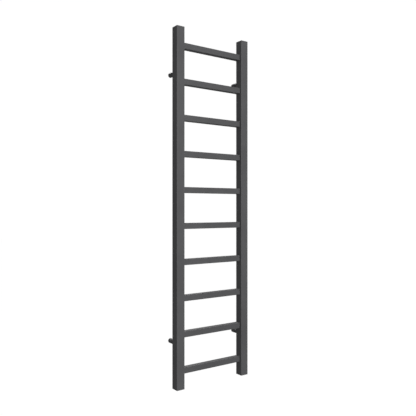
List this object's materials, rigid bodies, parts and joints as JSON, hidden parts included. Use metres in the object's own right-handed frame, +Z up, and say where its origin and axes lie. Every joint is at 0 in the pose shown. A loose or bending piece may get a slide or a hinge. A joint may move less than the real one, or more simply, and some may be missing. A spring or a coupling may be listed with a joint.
{
  "type": "towel warmer rack",
  "caption": "Wall-hung ladder towel warmer with square posts and square rungs, held off the wall by round telescopic brackets and fed through threaded sockets in the post ends.",
  "frame": {"origin": "on the wall's face, midway between the tapped holes of the wall pegs", "axes": "+Z up the posts, +Y into the wall, +X to the right as seen from the room"},
  "size_m": [0.3, 0.068, 1.2],
  "materials": {
    "coating": "satin anthracite powder coat",
    "bare_steel": "turned steel, as welded",
    "zinc_steel": "bright zinc plate",
    "plug_nickel": "nickel-plated brass",
    "screw_brass": "turned brass",
    "seal_rubber": "matt black nitrile"
  },
  "bodies": {
    "wall_pegs": {"upper_left_wall_peg": "coating", "upper_right_wall_peg": "coating", "lower_left_wall_peg": "coating", "lower_right_wall_peg": "coating"},
    "rack": {"left_post": "coating", "right_post": "coating", "rung_01": "coating", "rung_02": "coating", "rung_03": "coating", "rung_04": "coating", "rung_05": "coating", "rung_06": "coating", "rung_07": "coating", "rung_08": "coating", "rung_09": "coating", "rung_10": "coating", "top_left_block": "coating", "top_right_block": "coating", "bottom_left_block": "coating", "bottom_right_block": "coating", "upper_left_boss": "bare_steel", "upper_right_boss": "bare_steel", "lower_left_boss": "bare_steel", "lower_right_boss": "bare_steel", "upper_left_sleeve": "coating", "upper_right_sleeve": "coating", "lower_left_sleeve": "coating", "lower_right_sleeve": "coating", "sleeve_screws": "zinc_steel", "grub_screws": "zinc_steel", "air_vent_plug": "plug_nickel", "blanking_plug": "plug_nickel", "air_vent_seal": "seal_rubber", "blanking_seal": "seal_rubber"},
    "vent_screw": {"bleed_screw": "screw_brass"}
  },
  "joints": [
    {"name": "standoff_slide", "type": "slide", "parent": "wall_pegs", "child": "rack", "axis": [0, -1, 0], "range_m": [0, 0.012]},
    {"name": "bleed_turn", "type": "hinge", "parent": "rack", "child": "vent_screw", "pos_m": [0.135, -0.053, 0.595], "axis": [0, 0, 1], "range_deg": [0, 360]}
  ]
}
